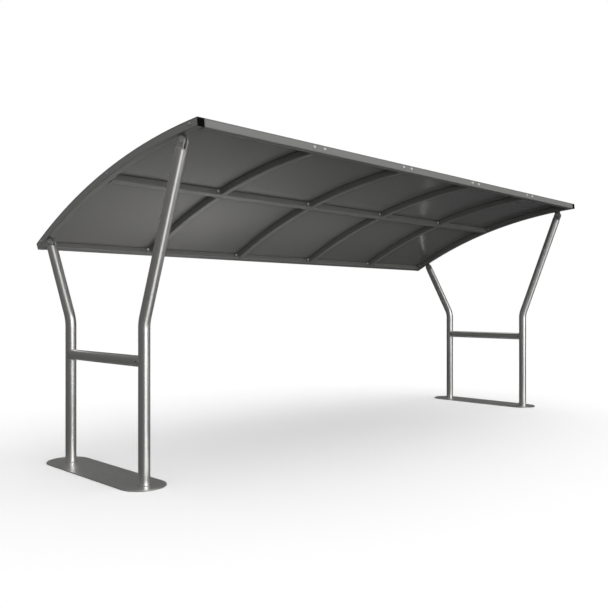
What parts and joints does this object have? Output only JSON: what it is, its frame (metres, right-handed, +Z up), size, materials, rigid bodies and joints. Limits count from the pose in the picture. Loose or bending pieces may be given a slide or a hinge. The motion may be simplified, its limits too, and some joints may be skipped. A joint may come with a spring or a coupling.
{
  "type": "bike shelter",
  "caption": "Free-standing open bike shelter: a curved sheet roof on a square-tube frame, held by bent round posts with crossbars on long round-ended base plates.",
  "frame": {"origin": "on the ground, under the middle of the roof", "axes": "+X along the shelter, +Y from the high open front to the low rear, +Z up"},
  "size_m": [5.256, 2.0524, 2.223],
  "materials": {
    "roof_frame": "dark grey powder coat, satin",
    "roof_sheet": "dark grey coated sheet, semi-gloss",
    "post_steel": "fine ground stainless steel",
    "post_head": "satin machined steel",
    "base_plate": "satin steel plate",
    "fastener": "bright plated",
    "end_cap": "black moulded plastic"
  },
  "bodies": {
    "root": {"end_rib_left": "roof_frame", "end_cap_left_front": "end_cap", "end_cap_left_rear": "end_cap", "crossbar_left": "post_steel", "base_plate_left": "base_plate", "post_left_front": "post_steel", "post_head_left_front": "post_head", "rib_lug_left_front": "roof_frame", "head_bolt_left_front": "fastener", "post_left_rear": "post_steel", "post_head_left_rear": "post_head", "rib_lug_left_rear": "roof_frame", "head_bolt_left_rear": "fastener", "end_rib_right": "roof_frame", "end_cap_right_front": "end_cap", "end_cap_right_rear": "end_cap", "crossbar_right": "post_steel", "base_plate_right": "base_plate", "post_right_front": "post_steel", "post_head_right_front": "post_head", "rib_lug_right_front": "roof_frame", "head_bolt_right_front": "fastener", "post_right_rear": "post_steel", "post_head_right_rear": "post_head", "rib_lug_right_rear": "roof_frame", "head_bolt_right_rear": "fastener", "front_beam": "roof_frame", "middle_purlin": "roof_frame", "rear_beam": "roof_frame", "upper_rib_1": "roof_frame", "lower_rib_1": "roof_frame", "upper_rib_2": "roof_frame", "lower_rib_2": "roof_frame", "upper_rib_3": "roof_frame", "lower_rib_3": "roof_frame", "upper_rib_4": "roof_frame", "lower_rib_4": "roof_frame", "roof_sheet_1": "roof_sheet", "roof_sheet_2": "roof_sheet", "roof_sheet_3": "roof_sheet", "roof_sheet_4": "roof_sheet", "roof_sheet_5": "roof_sheet"}
  },
  "joints": []
}
